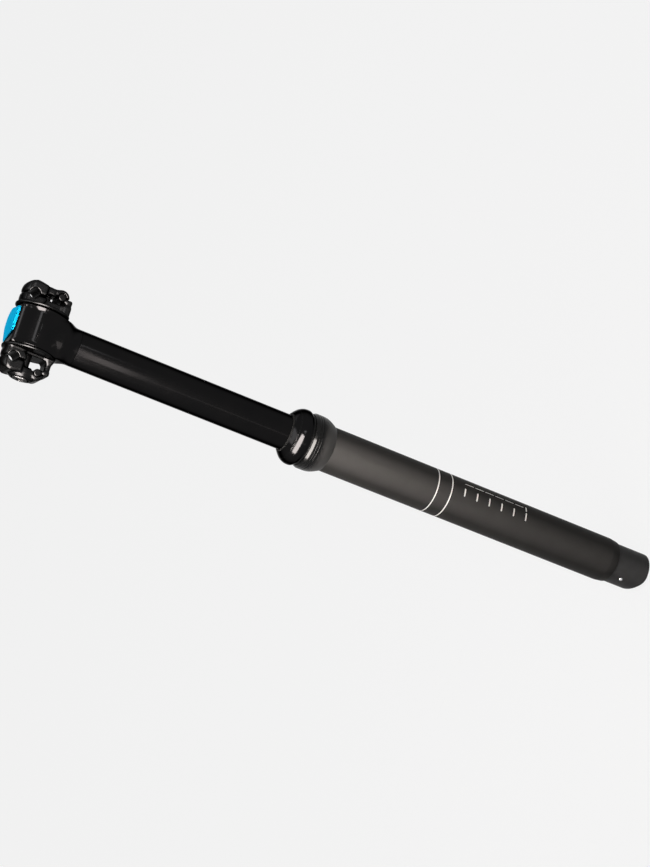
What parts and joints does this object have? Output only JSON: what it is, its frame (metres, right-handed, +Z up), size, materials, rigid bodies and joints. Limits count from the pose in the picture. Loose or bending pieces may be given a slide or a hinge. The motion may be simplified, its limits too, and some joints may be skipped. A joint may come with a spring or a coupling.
{
  "type": "dropper seatpost",
  "caption": "Telescopic bicycle seatpost: a sliding stanchion in a fixed lower tube with a seal collar, a cable-worked gas cartridge and a side-bolt clamp for saddle rails.",
  "frame": {"origin": "on the post's axis, where the collar ends and the clampable lower tube begins", "axes": "+Z up along the post to the head, X fore and aft along the saddle rails, Y across along the clamp bolt"},
  "size_m": [0.0398, 0.0648, 0.4935],
  "materials": {
    "tube_satin": "satin black anodised, fine bead-blasted grain",
    "gloss_black": "gloss black anodised",
    "collar_black": "semi-gloss black anodised, turned",
    "clamp_black": "black anodised forging",
    "cap_black": "matt black",
    "cyan_cover": "smooth cyan",
    "steel": "ground steel",
    "black_steel": "black oxide",
    "raw_alloy": "turned alloy",
    "brass": "machined brass",
    "seal_rubber": "black rubber",
    "foam": "oiled foam",
    "bushing": "bearing polymer"
  },
  "bodies": {
    "lower_post": {"outer_tube": "tube_satin", "collar_sleeve": "collar_black", "seal_head": "gloss_black", "wiper_seal": "seal_rubber", "foam_ring": "foam", "upper_bushing": "bushing", "bushing_circlip": "steel", "top_out_bumper": "seal_rubber", "actuator_housing": "cap_black", "lever_pivot_pin": "steel", "piston_rod": "steel", "rod_lock_nut": "steel", "piston": "raw_alloy", "piston_seal": "seal_rubber", "piston_nut": "steel"},
    "upper_post": {"stanchion": "gloss_black", "forged_head": "gloss_black", "head_cover": "cyan_cover", "cartridge_cylinder": "raw_alloy", "cartridge_retainer": "raw_alloy", "rod_gland": "brass", "rod_seal": "seal_rubber", "gas_plug": "raw_alloy", "gas_plug_oring": "seal_rubber", "guide_keys": "brass", "lower_bushing": "bushing"},
    "float": {"floating_piston": "raw_alloy", "floating_piston_oring": "seal_rubber"},
    "cradle": {"inner_clamp_left": "clamp_black", "inner_clamp_right": "clamp_black"},
    "right_jaw": {"outer_clamp_right": "clamp_black", "barrel_nut": "black_steel"},
    "left_jaw": {"outer_clamp_left": "clamp_black", "bolt_washer": "black_steel"},
    "bolt": {"clamp_bolt": "black_steel"},
    "lever": {"actuator_lever": "raw_alloy", "cable_barrel": "brass", "barrel_grub_screw": "black_steel"},
    "valve": {"valve_pin": "steel"}
  },
  "joints": [
    {"name": "post_drop", "type": "slide", "parent": "lower_post", "child": "upper_post", "axis": [0, 0, 1], "range_m": [-0.15, 0], "stiffness_N_per_m": 600, "springref_m": 0.4},
    {"name": "float_slide", "type": "slide", "parent": "upper_post", "child": "float", "axis": [0, 0, 1], "range_m": [-0.001, 0.045]},
    {"name": "saddle_tilt", "type": "hinge", "parent": "upper_post", "child": "cradle", "pos_m": [0, 0, 0.215], "axis": [0, 1, 0], "range_deg": [-15, 15]},
    {"name": "left_jaw_slide", "type": "slide", "parent": "cradle", "child": "left_jaw", "axis": [0, -1, 0], "range_m": [0, 0.0025]},
    {"name": "right_jaw_slide", "type": "slide", "parent": "cradle", "child": "right_jaw", "axis": [0, 1, 0], "range_m": [-0.0001, 0.0026]},
    {"name": "bolt_turn", "type": "hinge", "parent": "left_jaw", "child": "bolt", "pos_m": [0, 0, 0.215], "axis": [0, -1, 0], "range_deg": [-2, 1805]},
    {"name": "valve_lift", "type": "slide", "parent": "lower_post", "child": "valve", "axis": [0, 0, 1], "range_m": [0, 0.00255], "stiffness_N_per_m": 800, "springref_m": -0.012},
    {"name": "lever_pull", "type": "hinge", "parent": "lower_post", "child": "lever", "pos_m": [-0.00258, -0.00369, -0.2425], "axis": [0.8192, -0.5736, 0], "range_deg": [-0.5, 25.2]}
  ],
  "couplings": [
    {"joint": "float_slide", "follows": "post_drop", "ratio": -0.28444},
    {"joint": "right_jaw_slide", "follows": "left_jaw_slide", "ratio": 1},
    {"joint": "bolt_turn", "follows": "left_jaw_slide", "rad_per_m": 12566},
    {"joint": "lever_pull", "follows": "valve_lift", "rad_per_m": 170.85}
  ]
}
